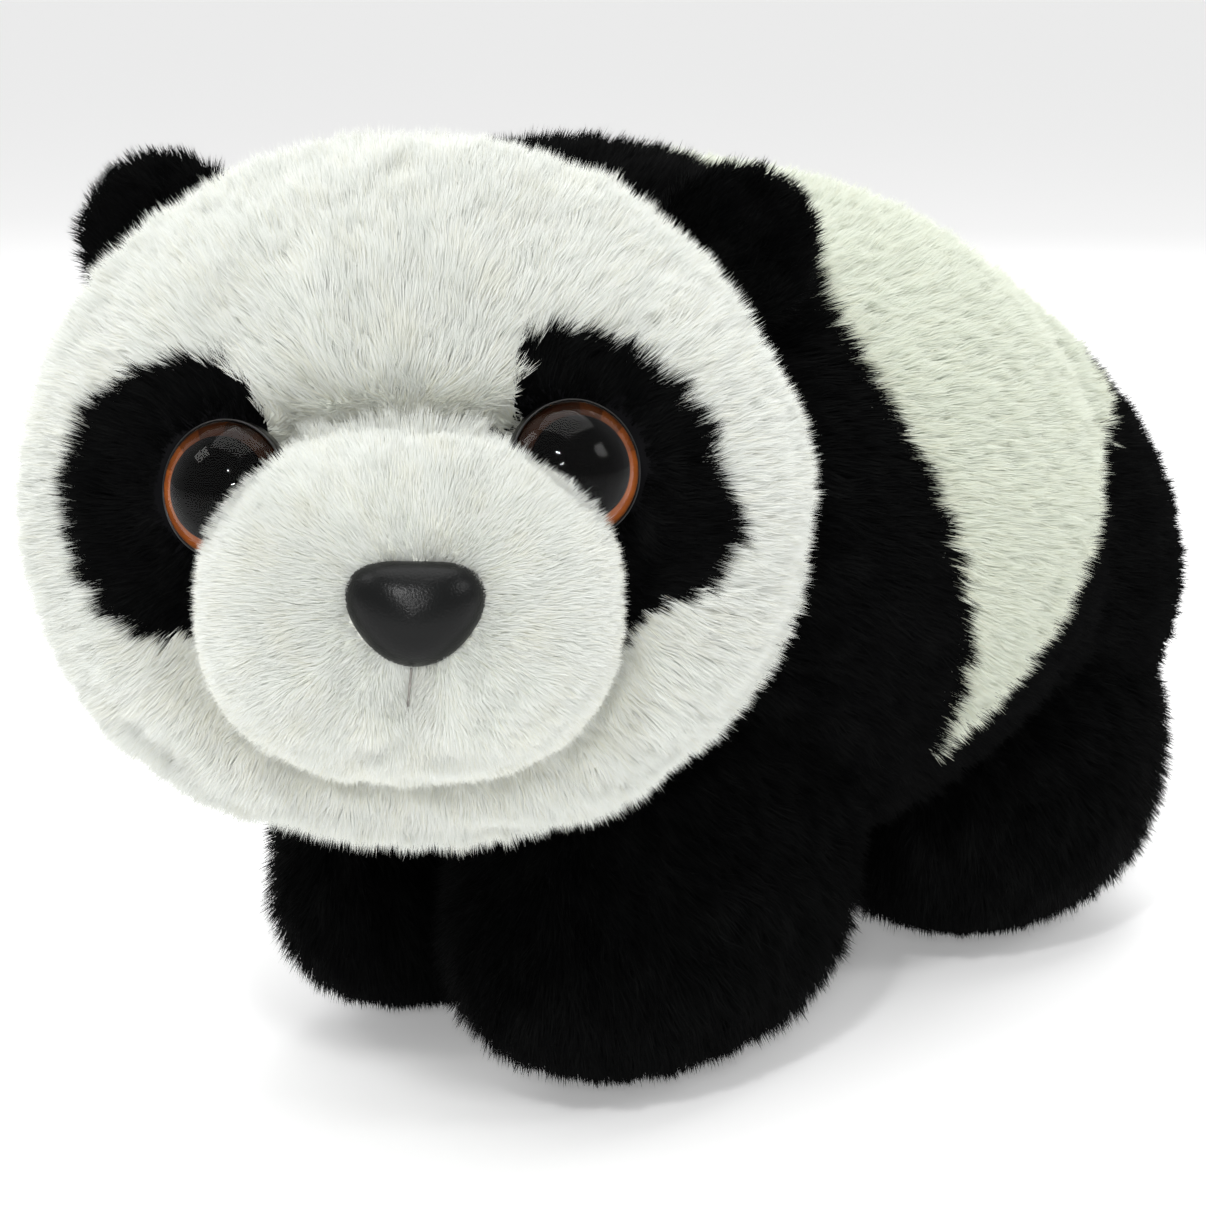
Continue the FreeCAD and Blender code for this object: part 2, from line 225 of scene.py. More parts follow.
PATCH_R = [(-40.2, 19.8), (-33.6, 21.9), (-27.9, 20.6), (-23.5, 17.4), (-20.9, 13.7), (-20.1, 9.5), (-18.1, 3.5), (-17.3, -5.4), (-23.6, -14.7), (-32.4, -20.2), (-37.6, -21.3), (-42.7, -19.8), (-47.3, -16.0), (-51.0, -9.8), (-52.7, -2.5), (-52.6, 5.3), (-50.4, 12.4), (-46.1, 16.7)]
PATCH_L = [(17.6, 24.2), (22.6, 26.7), (29.0, 25.5), (35.7, 22.6), (43.2, 15.2), (47.5, 6.9), (50.2, -3.6), (48.4, -8.9), (43.4, -14.0), (39.5, -17.0), (32.9, -20.2), (26.3, -20.5), (21.6, -12.7), (17.0, 0.8), (11.9, 9.8), (11.6, 11.0), (15.6, 11.0), (16.1, 18.1)]
EAR_DIR = {"left": (53.5, 14.5, 42.5), "right": (-44.5, 24.0, 43.0)}
EYES = {"right": (-28.4, 1.9), "left": (26.3, 5.6)}


def head_to_world(p):
    return p @ HR.T + HC


def world_to_head(p):
    return (p - HC) @ HR


HEAD_WAVE = Noise(42, 26.0, 8)


def head_form(d):
    """Directions to head-frame millimetres: an egg with cheeks, a muzzle seat and eye hollows."""
    r = HEAD_R - INSET
    P = d * r
    x, y, z = P.T
    lo = smooth((-z) / 40.0)
    front = smooth((-y + 8) / 40.0)
    x = x * (1 + 0.015 * lo) * np.where(x > 0, 0.978, 1.0)
    # flat under the chin
    z = np.where(z < -46, -46 + (z + 46) * 0.72, z)
    P = np.stack([x, y, z], 1)
    g = muz_g(x, z)
    dent = 4.2 * np.exp(-((g - 1.02) / 0.13) ** 2) * front
    # a soft fold runs out from the corners of the mouth
    dent = dent + 1.3 * np.exp(-((z + 26 + 0.35 * np.abs(x)) / 3.5) ** 2) * smooth((np.abs(x) - 24) / 8) * smooth((50 - np.abs(x)) / 12) * front
    dent = dent - 0.5 * HEAD_WAVE(P)
    for ex, ez in EYES.values():
        q = ((x - ex) ** 2 + (z - ez) ** 2) / 11.0 ** 2
        dent = dent + 1.8 * np.exp(-q) * front
    for ed in EAR_DIR.values():
        b0 = np.array(ed) / math.sqrt(((np.array(ed) / HEAD_R) ** 2).sum())
        q = ((P - b0) ** 2).sum(1)
        dent = dent + 3.2 * np.exp(-q / 17.0 ** 2)
    return P - unit(P) * dent[:, None]


MUZ_E, MUZ_F = 2.4, 2.9


def muz_q(p, m=0.0):
    """Below 1 inside the muzzle (head-frame points)."""
    q = np.abs((p - MUZ_C) / (MUZ_R - m))
    return (q[:, 0] ** MUZ_E + q[:, 2] ** MUZ_E) ** (MUZ_F / MUZ_E) + q[:, 1] ** MUZ_F


def muz_g(x, z):
    return ((np.abs(x - MUZ_C[0]) / MUZ_R[0]) ** MUZ_E + (np.abs(z - MUZ_C[2]) / MUZ_R[2]) ** MUZ_E) ** (1 / MUZ_E)


def muzzle_form(d, grow=0.0):
    """A full rounded dome with two soft pads under the nose and a small chin."""
    a = np.abs(d)
    k = ((a[:, 0] ** MUZ_E + a[:, 2] ** MUZ_E) ** (MUZ_F / MUZ_E) + a[:, 1] ** MUZ_F) ** (-1 / MUZ_F)
    P = d * k[:, None] * (MUZ_R - MUZ_INSET + grow)
    x, y, z = P.T
    f = smooth(-y / 22.0)
    # centre groove below the nose
    groove = 1.8 * np.exp(-((x - 1.2) / 2.4) ** 2) * smooth((-z - 5) / 5) * smooth((z + 25) / 6) * f
    pads = 1.0 * np.exp(-(((np.abs(x - 1.0) - 12) / 9) ** 2 + ((z + 12) / 8) ** 2)) * f
    nose_seat = 1.4 * np.exp(-(((x - 2) / 11) ** 2 + ((z - 1) / 8) ** 2)) * f
    # the fold that sets the lip pads off from the chin
    lip = 1.8 * np.exp(-(((z + 20.5 + 0.10 * np.abs(x)) / 2.0) ** 2)) * smooth((24 - np.abs(x)) / 8) * smooth((np.abs(x) - 1) / 3) * smooth(-y / 10)
    fine = 0.35 * MUZ_WAVE(P) * smooth((-z - 2) / 10)
    y = y + groove - pads + nose_seat + lip + fine
    return np.stack([x, y, z], 1) + MUZ_C


MUZ_INSET = 2.0
MUZ_WAVE = Noise(41, 9.0, 8)

TORSO_C, TORSO_R, TORSO_PITCH = (0.0, 12.5, 94.1), (78.2, 106.9, 70.3), -2.6
RUMP_C, RUMP_R = (0.0, 80.6, 76.0), (71.3, 56.8, 60.0)
HUMP, HUMP_Y = 11.5, -37.0


def _section(y):
    def part(c, r, tilt):
        k = 1 - ((y - c[1]) / r[1]) ** 2
        k = np.sqrt(np.clip(k, 0, None))
        z = c[2] + (y - c[1]) * math.tan(math.radians(tilt))
        return r[0] * k, z + r[2] * k, z - r[2] * k, k > 0
    a, b = part(TORSO_C, TORSO_R, TORSO_PITCH), part(RUMP_C, RUMP_R, 0)
    w = np.maximum(a[0], b[0])
    top = np.where(a[3] & b[3], np.maximum(a[1], b[1]), np.where(a[3], a[1], b[1]))
    low = np.where(a[3] & b[3], np.minimum(a[2], b[2]), np.where(a[3], a[2], b[2]))
    top = top + HUMP * np.exp(-((y - HUMP_Y) / 28.0) ** 2)
    return w, top, low


Y0, Y1 = TORSO_C[1] - TORSO_R[1], RUMP_C[1] + RUMP_R[1]
_ys = np.linspace(Y0, Y1, 700)
_w, _t, _l = _section(_ys)


def _soft(a, n=41):
    k = np.hanning(n); k /= k.sum()
    p = np.concatenate([2 * a[0] - a[1:n // 2 + 1][::-1], a, 2 * a[-1] - a[-n // 2:-1][::-1]])
    return np.convolve(p, k, "same")[n // 2:n // 2 + len(a)]


_w, _t, _l = _soft(_w), _soft(_t), _soft(_l)


def trunk_form(d, inset=INSET):
    yc, L = (Y0 + Y1) / 2, (Y1 - Y0) / 2
    y = yc + L * d[:, 1]
    yy = yc + (L - inset) * d[:, 1]
    w = np.interp(y, _ys, _w); t = np.interp(y, _ys, _t); l = np.interp(y, _ys, _l)
    # end rounding keeps the tips closed
    rr = np.sqrt(np.clip(1 - d[:, 1] ** 2, 0, 1))
    cs, sn = d[:, 0] / np.maximum(rr, 1e-6), d[:, 2] / np.maximum(rr, 1e-6)
    q = np.minimum(inset, 0.9 * w)
    cap = smooth(rr / 0.25)
    return np.stack([(w - q) * cs * np.minimum(1, rr / 0.02), yy, (t + l) / 2 + ((t - l) / 2 - q) * sn * np.minimum(1, rr / 0.02)], 1)


SEAM_FRONT = np.array([(-4.0, 190.0), (-9.0, 166.0), (-22.0, 154.0), (-27.0, 138.0), (-20.0, 118.0), (-13.0, 102.0), (-7.0, 89.0), (-3.0, 78.0), (0.0, 68.0), (3.0, 57.0), (2.0, 36.0), (0.0, -20.0)])
SEAM_REAR = np.array([(94.0, 190.0), (92.0, 156.0), (85.0, 128.0), (74.0, 113.0), (53.0, 102.0), (41.0, 90.0), (29.0, 80.0), (17.0, 70.0), (3.0, 57.0), (2.0, 36.0), (0.0, -20.0)])


def seam_y(tab, z):
    return np.interp(z, tab[::-1, 1], tab[::-1, 0])


def trunk_zone(P):
    """0 shoulder (black), 1 saddle (white), 2 rump and belly (black)."""
    yf, yr = seam_y(SEAM_FRONT, P[:, 2]), seam_y(SEAM_REAR, P[:, 2])
    return np.where(P[:, 1] < yf, 0, np.where(P[:, 1] < yr, 1, 2))


LEGS = {
    # paw centre, semi-axes, upper height, lean, roundness, hip
    "front_left": ((30.2, -41.0, 33.0), (30.6, 49.5, 33.0), 62.0, 0.2, 2.35, (31.0, -36.0, 41.0)),
    "front_right": ((-24.6, -33.0, 33.0), (24.6, 46.0, 33.0), 62.0, 0.2, 2.35, (-26.0, -30.0, 41.0)),
    "rear_left": ((36.5, 69.5, 36.0), (34.5, 50.0, 36.0), 44.0, 0.1, 2.1, (35.0, 70.0, 45.0)),
    "rear_right": ((-36.5, 69.5, 36.0), (34.5, 50.0, 36.0), 44.0, 0.1, 2.1, (-35.0, 70.0, 45.0)),
}


def leg_form(word):
    c, r, top, lean, e, hip = LEGS[word]

    def f(d):
        s = (np.abs(d) ** e).sum(1) ** (-1 / e)
        q = d * s[:, None]
        x = q[:, 0] * (r[0] - INSET) + c[0]
        z = np.where(q[:, 2] > 0, q[:, 2] * (top - INSET), q[:, 2] * (r[2] - INSET)) + c[2]
        y = q[:, 1] * (r[1] - INSET) + c[1] + lean * np.maximum(0, z - c[2])
        b = 2.6
        z = np.where(z < b + 5, b + np.maximum(0, z - b + 5) ** 2 / 20.0, z)
        return np.stack([x, y, z], 1)
    return f


def inside_trunk(P, m):
    y = np.clip(P[:, 1], Y0, Y1)
    w = np.interp(y, _ys, _w) - m; t = np.interp(y, _ys, _t) - m; l = np.interp(y, _ys, _l) + m
    h = (t - l) / 2
    ok = (w > 1) & (h > 1) & (P[:, 1] > Y0 + m) & (P[:, 1] < Y1 - m)
    return ok & ((P[:, 0] / np.maximum(w, 1)) ** 2 + ((P[:, 2] - (t + l) / 2) / np.maximum(h, 1)) ** 2 < 1)


def inside_head(P, m):
    q = world_to_head(P)
    return ((q / (HEAD_R - m)) ** 2).sum(1) < 1


def inside_muzzle(P, m):
    return muz_q(world_to_head(P), m) < 1


def inside_leg(word, P, m):
    c, r, top, lean, e, hip = LEGS[word]
    z = P[:, 2] - c[2]
    y = P[:, 1] - c[1] - lean * np.maximum(0, z)
    q = np.stack([(P[:, 0] - c[0]) / (r[0] - m), y / (r[1] - m), z / np.where(z > 0, top - m, r[2] - m)], 1)
    return (np.abs(q) ** e).sum(1) < 1


# ---------------------------------------------------------------------- fur
class Surface:
    def __init__(self, P, Q):
        self.P, self.Q = P, Q
        self.N = vertex_normals(P, Q)
        T = np.concatenate([Q[:, [0, 1, 2]], Q[:, [0, 2, 3]]])
        self.T = T
        a = np.cross(P[T[:, 1]] - P[T[:, 0]], P[T[:, 2]] - P[T[:, 0]])
        self.area = np.linalg.norm(a, axis=1) / 2

    def scatter(self, density, r):
        n = r.poisson(self.area * density)
        t = np.repeat(np.arange(len(self.T)), n)
        u, v = r.random(len(t)), r.random(len(t))
        f = u + v > 1
        u[f], v[f] = 1 - u[f], 1 - v[f]
        w = 1 - u - v
        T = self.T[t]
        P = self.P[T[:, 0]] * w[:, None] + self.P[T[:, 1]] * u[:, None] + self.P[T[:, 2]] * v[:, None]
        N = unit(self.N[T[:, 0]] * w[:, None] + self.N[T[:, 1]] * u[:, None] + self.N[T[:, 2]] * v[:, None])
        return P, N


CLUMP_A = Noise(3, 7.0, 8, 3)
CLUMP_B = Noise(4, 2.6, 8, 3)
TINT = Noise(5, 9.0, 10)
BROAD = Noise(6, 34.0, 6)


def make_fur(name, P, N, lay, length, width, lean, mats, tint, body, r, clump=0.16, limit=190000):
    """One slim triangle per tuft of fibres. P, N in working millimetres."""
    n = len(P)
    if n == 0:
        return []
    lay = lay - N * (lay * N).sum(1)[:, None]
    lay = unit(lay + 1e-6)
    ca = CLUMP_A(P) * clump * 0.75 + CLUMP_B(P) * clump * 0.8 + r.normal(size=(n, 3)) * 0.07
    ang = np.radians(lean + r.normal(size=n) * 6.0)
    D = N * np.cos(ang)[:, None] + lay * np.sin(ang)[:, None] + ca
    D = unit(D)
    # never point into the cloth
    dn = (D * N).sum(1)
    D = unit(D + N * np.maximum(0, 0.25 - dn)[:, None])
    Ln = length * r.uniform(0.75, 1.12, n)
    W = unit(np.cross(D, N + 0.15 * r.normal(size=(n, 3))))
    hw = width * r.uniform(0.7, 1.25, n) / 2
    root = P - N * 0.2
    V = np.empty((n, 3, 3))
    V[:, 0] = root + W * hw[:, None]
    V[:, 1] = root - W * hw[:, None]
    V[:, 2] = root + D * Ln[:, None]
    # wind the faces so that they look away from the cloth
    g = np.cross(V[:, 1] - V[:, 0], V[:, 2] - V[:, 0])
    flip = (g * N).sum(1) < 0
    F0 = np.arange(n)[:, None] * 3 + np.where(flip[:, None], np.array([0, 2, 1]), np.array([0, 1, 2]))
    out = []
    parts = max(1, math.ceil(n / limit))
    for k in range(parts):
        a, b = k * n // parts, (k + 1) * n // parts
        nm = name if parts == 1 else "%s_%d" % (name, k + 1)
        o = new_mesh(nm, V[a:b].reshape(-1, 3) + SHIFT, F0[a:b] - a * 3, mats, tint[a:b], False)
        out.append(o)
    return out


DENS = 1.0
WIDE = 1.0


def tints(P, r, n=5, warm_tone_and_painted_shade=None):
    t = TINT(P) * 0.5 + r.normal(size=len(P)) * 0.7
    k = np.digitize(t, [-0.8, 0.1, 0.8])
    out = np.array([2, 0, 1, 3])[k]
    # painted shade: this share of strands takes the darker, warmer tints 3 and 4; part is random tone, and where
    # callers raise it, it is painted crease shade
    if warm_tone_and_painted_shade is not None:
        out = np.where(r.random(len(P)) < warm_tone_and_painted_shade, np.where(r.random(len(P)) < 0.5, 3, 4), out)
    return out


def skin(name, P, Q, keep, mat, body, stands_for, fill=0.6, slot=None):
    p, q = compact(P, Q[keep])
    o = new_mesh(name, p + SHIFT, q, [mat])
    return o


# --------------------------------------------------------------------- head
n_head = 56
d, Q = cube_sphere(n_head)
Ph = head_form(d)
Pw = head_to_world(Ph)
Sh = Surface(Pw, Q)
qc = Ph[Q].mean(1)


def head_zone(p):
    """0 front white, 1 back white, 2 left patch, 3 right patch (head-frame points)."""
    front = p[:, 1] < 13.0
    L = in_poly(p[:, 0], p[:, 2], PATCH_L) & (p[:, 1] < 0)
    R = in_poly(p[:, 0], p[:, 2], PATCH_R) & (p[:, 1] < 0)
    return np.where(L, 2, np.where(R, 3, np.where(front, 0, 1)))


zone = head_zone(qc)
for z, nm, mat, nodes in ((0, "head_front_skin", SKIN_WHITE, ("head_front_panel", "head_fill")),
                          (1, "head_back_skin", SKIN_WHITE, ("head_back_panel",)),
                          (2, "eye_patch_left_skin", SKIN_BLACK, ("eye_patch_left",)),
                          (3, "eye_patch_right_skin", SKIN_BLACK, ("eye_patch_right",))):
    o = skin(nm, Pw, Q, zone == z, mat, "head", nodes)
    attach(o, "head"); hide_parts(*nodes)

r1 = np.random.default_rng(21)
P, N = Sh.scatter(12.0 * DENS, r1)
hp = world_to_head(P)
hid = inside_trunk(P, 9.0) | inside_muzzle(P, 4.5)
for ex, ez in EYES.values():
    hid |= ((hp[:, 0] - ex) ** 2 + (hp[:, 2] - ez) ** 2 < 9.9 ** 2) & (hp[:, 1] < 0)
P, N, hp = P[~hid], N[~hid], hp[~hid]
# the pile runs from the muzzle outward and back, and round each eye
out = hp - np.array([0, -40, -12.0])
lay = unit(out * np.array([1, 0.2, 1])) + np.array([0, 0.9, 0])
lay[:, 2] -= 0.15
for ex, ez in EYES.values():
    rel = hp - np.array([ex, 0, ez]); rel[:, 1] = 0
    dr = np.hypot(rel[:, 0], rel[:, 2])
    k = np.clip((17 - dr) / 6, 0, 1) * (hp[:, 1] < 0)
    lay = lay * (1 - k[:, None]) + unit(rel) * 1.3 * k[:, None]
Nh = N @ HR
tip = unit(lay - Nh * (lay * Nh).sum(1)[:, None])
jit = Noise(31, 5.0, 8, 2)(P) * 0.5
zp = hp + tip * 2.6; zp[:, 0] += jit[:, 0]; zp[:, 2] += jit[:, 1]
zone = head_zone(zp)
lay = lay @ HR.T
g = muz_g(hp[:, 0], hp[:, 2])
near_muz = np.exp(-((g - 1.06) / 0.11) ** 2) * (hp[:, 1] < 0)
# painted shade: strands in the crease round the muzzle get more of the darker, warmer tints, standing in for the shade
# in that crease
warm_tone_and_painted_shade = 0.08 + 0.55 * near_muz
tw = tints(P, r1, warm_tone_and_painted_shade=warm_tone_and_painted_shade)
tb = tints(P, r1)
ln = 6.0 - 2.6 * near_muz
for ed in EAR_DIR.values():
    b0 = np.array(ed) / math.sqrt(((np.array(ed) / HEAD_R) ** 2).sum())
    dq = np.sqrt(((hp - b0) ** 2).sum(1))
    ln = ln - 2.8 * np.exp(-(dq / 17.0) ** 2)
de = np.min([np.hypot(hp[:, 0] - ex, hp[:, 2] - ez) for ex, ez in EYES.values()], axis=0)
ln = np.where((de < 16) & (hp[:, 1] < 0), np.minimum(ln, 1.9 + 4.1 * np.clip((de - 10) / 6, 0, 1)), ln)
for z, nm, mats, t in ((0, "head_front_pile", WHITE, tw), (1, "head_back_pile", WHITE, tw), (2, "eye_patch_left_pile", BLACK, tb), (3, "eye_patch_right_pile", BLACK, tb)):
    m = zone == z
    for o in make_fur(nm, P[m], N[m], lay[m], ln[m], 0.22 * WIDE, 51.0, mats, t[m], "head", r1):
        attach(o, "head")

# muzzle
d, Q = cube_sphere(48)
Pm = muzzle_form(d)
Pmw = head_to_world(Pm)
Sm = Surface(Pmw, Q)
keep = ~(inside_head(Pmw, INSET + 6.5)[Q].all(1))
o = skin("muzzle_skin", Pmw, Q, keep, SKIN_WHITE, "head", ())
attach(o, "head"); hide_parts("muzzle_cover", "muzzle_fill")
P, N = Sm.scatter(18.0 * DENS, r1)
hp = world_to_head(P)
nose_c = np.array([2.0, 0.0, -15.2])
hid = inside_head(P, INSET + 3.5) | ((((hp[:, 0] - nose_c[0]) / 9.0) ** 2 + ((hp[:, 2] - nose_c[2]) / 6.6) ** 2 < 1) & (hp[:, 1] < -60))
P, N, hp = P[~hid], N[~hid], hp[~hid]
rel = hp - np.array([2.0, 0, -14.0])
lay = (unit(rel * np.array([1, 0, 1])) * 1.0 + np.array([0, 0.6, 0])) @ HR.T
edge = smooth((-hp[:, 1] * -1 + 0) / 10)
underside_shade = smooth((-hp[:, 2] - 24) / 10)
ln = 2.9 + 0.9 * smooth((hp[:, 1] + 66) / 12)
# painted shade: strands at the back of the muzzle, in the crease against the head, and on its underside get more of the
# darker, warmer tints
warm_tone_and_painted_shade = 0.05 + 0.55 * smooth((hp[:, 1] + 60) / 8) + 0.12 * underside_shade
for o in make_fur("muzzle_pile", P, N, lay, ln, 0.18 * WIDE, 46.0, WHITE, tints(P, r1, warm_tone_and_painted_shade=warm_tone_and_painted_shade), "head", r1, clump=0.10):
    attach(o, "head")

# --------------------------------------------------------------------- eyes
def revolve(name, prof, n, frame_m, mats, idx=None):
    """prof: list of (r, z) from axis to axis."""
    k = len(prof)
    a = np.linspace(0, 2 * math.pi, n, endpoint=False)
    P = np.array([[r * math.cos(t), r * math.sin(t), z] for r, z in prof for t in a])
    F = []
    for i in range(k - 1):
        for j in range(n):
            F.append((i * n + j, i * n + (j + 1) % n, (i + 1) * n + (j + 1) % n, (i + 1) * n + j))
    F = np.array(F)
    P = P @ frame_m[0].T + frame_m[1]
    o = new_mesh(name, head_to_world(P) + SHIFT, F, mats, None)
    bpy.context.view_layer.objects.active = o
    return o


def frame_on(x, z, sink):
    y = -HEAD_R[1] * math.sqrt(1 - (x / HEAD_R[0]) ** 2 - (z / HEAD_R[2]) ** 2)
    p = np.array([x, y, z])
    n = unit(p / HEAD_R ** 2)
    u = unit(np.cross([0, 0, 1.0], n))
    v = np.cross(n, u)
    return np.stack([u, v, n], 1), p - n * sink


glass = bpy.data.materials.new("eye_dome")
glass.use_nodes = True
b = glass.node_tree.nodes["Principled BSDF"]
b.inputs["Base Color"].default_value = (1, 1, 1, 1)
b.inputs["Roughness"].default_value = 0.03
b.inputs["Transmission Weight"].default_value = 1.0
b.inputs["IOR"].default_value = 1.2


def iris_material(name, dark, light):
    m = bpy.data.materials.new(name)
    m.use_nodes = True
    nt = m.node_tree; N = nt.nodes; L = nt.links
    b = N["Principled BSDF"]
    b.inputs["Roughness"].default_value = 0.4
    b.inputs["Specular IOR Level"].default_value = 0.05
    tc = N.new("ShaderNodeTexCoord")
    nz = N.new("ShaderNodeTexNoise"); nz.inputs["Scale"].default_value = 260.0; nz.inputs["Detail"].default_value = 5.0
    L.new(tc.outputs["Object"], nz.inputs["Vector"])
    cr = N.new("ShaderNodeValToRGB")
    cr.color_ramp.elements[0].position = 0.3
    cr.color_ramp.elements[1].position = 0.7
    cr.color_ramp.elements[0].color = (*dark, 1)
    cr.color_ramp.elements[1].color = (*light, 1)
    L.new(nz.outputs["Fac"], cr.inputs["Fac"])
    L.new(cr.outputs["Color"], b.inputs["Base Color"])
    return m


# painted light: the iris ring is painted bright amber on its outer lower side, where light comes through the dome, and
# deepens to dark brown towards the brow and the bridge, where it is shaded
_iris_light = [0.05, 0.12, 0.3, 0.65, 1.0]
IRIS_PAINTED_LIGHT = [iris_material("eye_iris_painted_light_%d" % i, (0.24 * k, 0.058 * k, 0.010 * k), (0.40 * k, 0.11 * k, 0.020 * k)) for i, k in enumerate(_iris_light)]
PUPIL = plain("eye_pupil", (0.0008, 0.0008, 0.0008), 0.5, 0.0)
RIM = plain("eye_rim", (0.003, 0.0025, 0.002), 0.3, 0.4)
EYE_R = 10.4
for side, (ex, ez) in EYES.items():
    fm = frame_on(ex, ez, 2.6)
    h = 7.2
    Rs = (EYE_R ** 2 + h ** 2) / (2 * h)
    prof = []
    a1 = math.asin(EYE_R / Rs)
    for i in range(25):
        a = a1 * i / 24
        prof.append((max(1e-4, Rs * math.sin(a)), Rs * math.cos(a) + h - Rs))
    prof += [(EYE_R, -1.2), (1e-4, -1.2)]
    prof = prof[::-1]
    o = revolve("eye_%s_dome" % side, prof, 64, fm, [glass])
    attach(o, "head"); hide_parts("eye_%s_lens" % side)
    o = revolve("eye_%s_ring" % side, [(1e-4, -0.9), (EYE_R - 0.5, -0.9), (EYE_R - 0.5, -0.3), (6.6, 0.7), (1e-4, 0.7)], 64, fm, IRIS_PAINTED_LIGHT)
    me = o.data
    cen = np.array([f.center for f in me.polygons]) / MM - SHIFT
    ch = world_to_head(cen) - fm[1]
    # painted light: faces towards the outer lower side take the brighter amber materials, the rest the darker, shaded
    # ones
    painted_lit_side = unit(np.array([ex, 0, -abs(ex) * 0.75]))
    ang = unit(ch * np.array([1, 0, 1])) @ painted_lit_side
    me.polygons.foreach_set("material_index", np.clip(np.round(2 + 2.6 * ang), 0, 4).astype(np.int32))
    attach(o, "head"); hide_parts("eye_%s_iris" % side)
    o = revolve("eye_%s_centre" % side, [(1e-4, 0.75), (7.5, 0.75), (7.5, 1.05), (7.0, 1.35), (1e-4, 1.95)], 64, fm, [PUPIL])
    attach(o, "head"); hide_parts("eye_%s_pupil" % side)
    o = revolve("eye_%s_back" % side, [(1e-4, -2.0), (EYE_R + 0.25, -2.0), (EYE_R + 0.25, 0.35), (EYE_R + 0.02, 0.35), (EYE_R + 0.02, -1.3), (1e-4, -1.3)], 64, fm, [RIM])
    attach(o, "head"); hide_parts("eye_%s_shank" % side, "eye_%s_washer" % side)

# --------------------------------------------------------------------- nose
def nose_material():
    m = bpy.data.materials.new("nose_grain")
    m.use_nodes = True
    nt = m.node_tree; N = nt.nodes; L = nt.links
    b = N["Principled BSDF"]
    b.inputs["Base Color"].default_value = (0.003, 0.0033, 0.0033, 1)
    b.inputs["Roughness"].default_value = 0.30
    b.inputs["Specular IOR Level"].default_value = 0.16
    tc = N.new("ShaderNodeTexCoord")
    v = N.new("ShaderNodeTexVoronoi"); v.inputs["Scale"].default_value = 1500.0
    v.feature = "DISTANCE_TO_EDGE"
    L.new(tc.outputs["Object"], v.inputs["Vector"])
    nz = N.new("ShaderNodeTexNoise"); nz.inputs["Scale"].default_value = 2400.0; nz.inputs["Detail"].default_value = 3.0
    L.new(tc.outputs["Object"], nz.inputs["Vector"])
    mx = N.new("ShaderNodeMath"); mx.operation = "ADD"
    L.new(v.outputs["Distance"], mx.inputs[0]); L.new(nz.outputs["Fac"], mx.inputs[1])
    bp = N.new("ShaderNodeBump"); bp.inputs["Strength"].default_value = 0.35; bp.inputs["Distance"].default_value = 0.00012
    L.new(mx.outputs[0], bp.inputs["Height"]); L.new(bp.outputs["Normal"], b.inputs["Normal"])
    return m


NOSE = nose_material()
NOSE_W, NOSE_H = 20.6, 15.4
outline = [(-0.50, 0.20), (-0.44, 0.38), (-0.29, 0.48), (0.0, 0.50), (0.29, 0.48), (0.44, 0.38), (0.50, 0.20), (0.46, -0.04), (0.34, -0.28), (0.18, -0.45), (0.0, -0.50), (-0.18, -0.45), (-0.34, -0.28), (-0.46, -0.04)]
pt = np.array(outline)
ta = np.arange(len(pt) + 1)
pp = np.vstack([pt, pt[:1]])


def closed_spline(pp, n):
    """Periodic Catmull-Rom through the outline."""
    m = len(pp) - 1
    out = []
    for i in range(n):
        t = i * m / n
        k = int(t); f = t - k
        p0, p1, p2, p3 = pp[(k - 1) % m], pp[k % m], pp[(k + 1) % m], pp[(k + 2) % m]
        out.append(0.5 * ((2 * p1) + (-p0 + p2) * f + (2 * p0 - 5 * p1 + 4 * p2 - p3) * f * f + (-p0 + 3 * p1 - 3 * p2 + p3) * f ** 3))
    return np.array(out)


ring = closed_spline(pp, 96)
levels = [(1e-3, 5.2), (0.15, 5.15), (0.30, 5.0), (0.45, 4.7), (0.60, 4.25), (0.74, 3.6), (0.85, 2.8), (0.93, 1.9), (0.98, 0.9), (1.0, 0.0), (0.99, -1.2), (0.9, -2.2), (1e-3, -2.2)]
P = []
muz_front = MUZ_C[1] - MUZ_R[1]
for s, h in levels:
    for q in ring:
        x, z = q[0] * NOSE_W * s, q[1] * NOSE_H * s
        dome = 0.0
        P.append((x + 2.0, muz_front + 1.9 - h + 0.012 * x * x + 0.03 * (z < 0) * z * z * 0.6, z - 15.7))
P = np.array(P)
F = []
k = len(ring)
for i in range(len(levels) - 1):
    for j in range(k):
        F.append((i * k + j, (i + 1) * k + j, (i + 1) * k + (j + 1) % k, i * k + (j + 1) % k))
o = new_mesh("nose_cap_piece", head_to_world(P) + SHIFT, np.array(F), [NOSE])
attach(o, "head"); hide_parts("nose_cap", "nose_shank", "nose_washer")

# mouth stitch: a short thread that lies in the groove
THREAD = mottled("thread", (0.13, 0.125, 0.115), (0.26, 0.25, 0.23), 900.0, bump=0.5, bump_scale=2500.0, dist=0.0001)
zs = np.linspace(-23.5, -33.0, 14)
path = []
for i, z in enumerate(zs):
    dz = (z - MUZ_C[2]) / MUZ_R[2]
    y = MUZ_C[1] - (MUZ_R[1] - 1.3) * math.sqrt(1 - dz * dz) + 1.1 * math.sin(math.pi * i / 13.0) * 0.2
    path.append((1.6 - 0.08 * i, y - 1.1, z))
path = np.array(path)
P, F = [], []
for i, p in enumerate(path):
    t = unit(path[min(i + 1, 13)] - path[max(i - 1, 0)])
    u = unit(np.cross(t, [1.0, 0, 0])); v = np.cross(t, u)
    rr = 0.2
    for j in range(8):
        a = j * math.pi / 4 + i * 0.5
        P.append(p + (u * math.cos(a) + v * math.sin(a)) * rr)
for i in range(13):
    for j in range(8):
        F.append((i * 8 + j, i * 8 + (j + 1) % 8, (i + 1) * 8 + (j + 1) % 8, (i + 1) * 8 + j))
o = new_mesh("mouth_thread", head_to_world(np.array(P)) + SHIFT, np.array(F), [THREAD])
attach(o, "head"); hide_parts("mouth_stitch")

